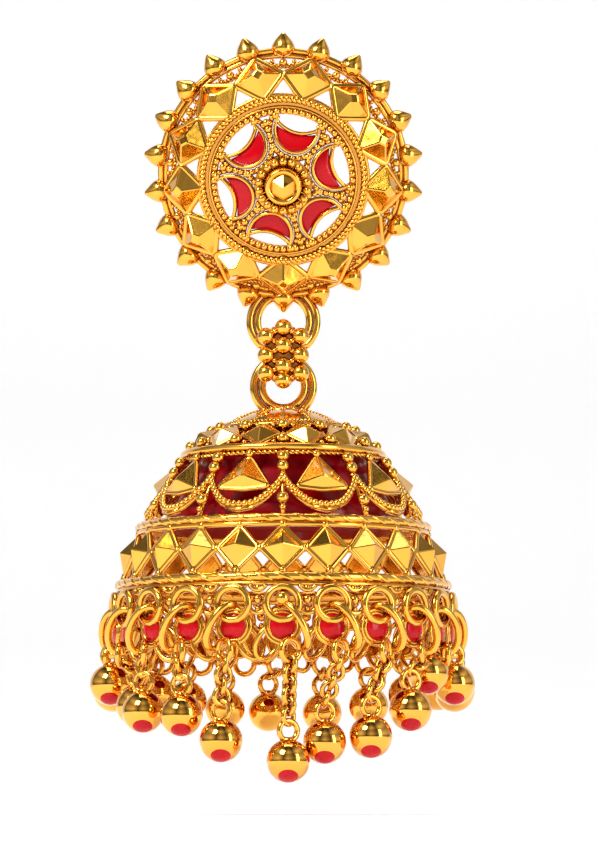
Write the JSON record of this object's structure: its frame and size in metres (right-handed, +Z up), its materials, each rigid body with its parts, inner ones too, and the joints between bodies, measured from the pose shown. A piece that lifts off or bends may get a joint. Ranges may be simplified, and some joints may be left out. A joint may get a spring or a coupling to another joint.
{
  "type": "jhumka earring",
  "caption": "Jhumka earring: domed openwork gold stud with red enamel, beaded link, tiered openwork bell and a fringe of chains ending in balls.",
  "frame": {"origin": "on the ear post's axis in the plane of the stud's rim, where the stud meets the ear lobe", "axes": "+Z up with the earring hanging, -Y towards the front of the stud, +X to the right seen from the front"},
  "size_m": [0.0278, 0.0278, 0.0537],
  "materials": {
    "gold": "polished yellow gold, granulated and wire work",
    "gold_balls": "mirror polished yellow gold with red enamel dots",
    "post_gold": "plain polished yellow gold",
    "red_enamel": "glossy translucent red enamel",
    "lining": "glossy red lining"
  },
  "bodies": {
    "stud": {"stud_rosette": "gold", "stud_enamel_01": "red_enamel", "stud_enamel_02": "red_enamel", "stud_enamel_03": "red_enamel", "stud_enamel_04": "red_enamel", "stud_enamel_05": "red_enamel", "stud_enamel_06": "red_enamel", "ear_post": "post_gold"},
    "link": {"link_cluster": "gold"},
    "bell": {"bell_shell": "gold", "red_lining": "lining", "fringe_enamel_01": "red_enamel", "fringe_enamel_02": "red_enamel", "fringe_enamel_03": "red_enamel", "fringe_enamel_04": "red_enamel", "fringe_enamel_05": "red_enamel", "fringe_enamel_06": "red_enamel", "fringe_enamel_07": "red_enamel", "fringe_enamel_08": "red_enamel", "fringe_enamel_09": "red_enamel", "fringe_enamel_10": "red_enamel", "fringe_enamel_11": "red_enamel", "fringe_enamel_12": "red_enamel", "fringe_enamel_13": "red_enamel", "fringe_enamel_14": "red_enamel", "fringe_enamel_15": "red_enamel", "fringe_enamel_16": "red_enamel", "fringe_enamel_17": "red_enamel", "fringe_enamel_18": "red_enamel", "fringe_enamel_19": "red_enamel", "fringe_enamel_20": "red_enamel", "fringe_enamel_21": "red_enamel", "fringe_enamel_22": "red_enamel", "chain_drop_01": "gold_balls", "chain_drop_02": "gold_balls", "chain_drop_03": "gold_balls", "chain_drop_04": "gold_balls", "chain_drop_05": "gold_balls", "chain_drop_06": "gold_balls", "chain_drop_07": "gold_balls", "chain_drop_08": "gold_balls", "chain_drop_09": "gold_balls", "chain_drop_10": "gold_balls", "chain_drop_11": "gold_balls", "chain_drop_12": "gold_balls", "chain_drop_13": "gold_balls", "chain_drop_14": "gold_balls", "chain_drop_15": "gold_balls", "chain_drop_16": "gold_balls", "chain_drop_17": "gold_balls", "chain_drop_18": "gold_balls", "chain_drop_19": "gold_balls", "chain_drop_20": "gold_balls", "chain_drop_21": "gold_balls", "chain_drop_22": "gold_balls"}
  },
  "joints": [
    {"name": "link_sway", "type": "hinge", "parent": "stud", "child": "link", "pos_m": [0, 0.0029, -0.01047], "axis": [0, 1, 0], "range_deg": [-15, 15]},
    {"name": "bell_swing", "type": "hinge", "parent": "link", "child": "bell", "pos_m": [0, 0.0029, -0.0137], "axis": [1, 0, 0], "range_deg": [-22, 30]}
  ]
}
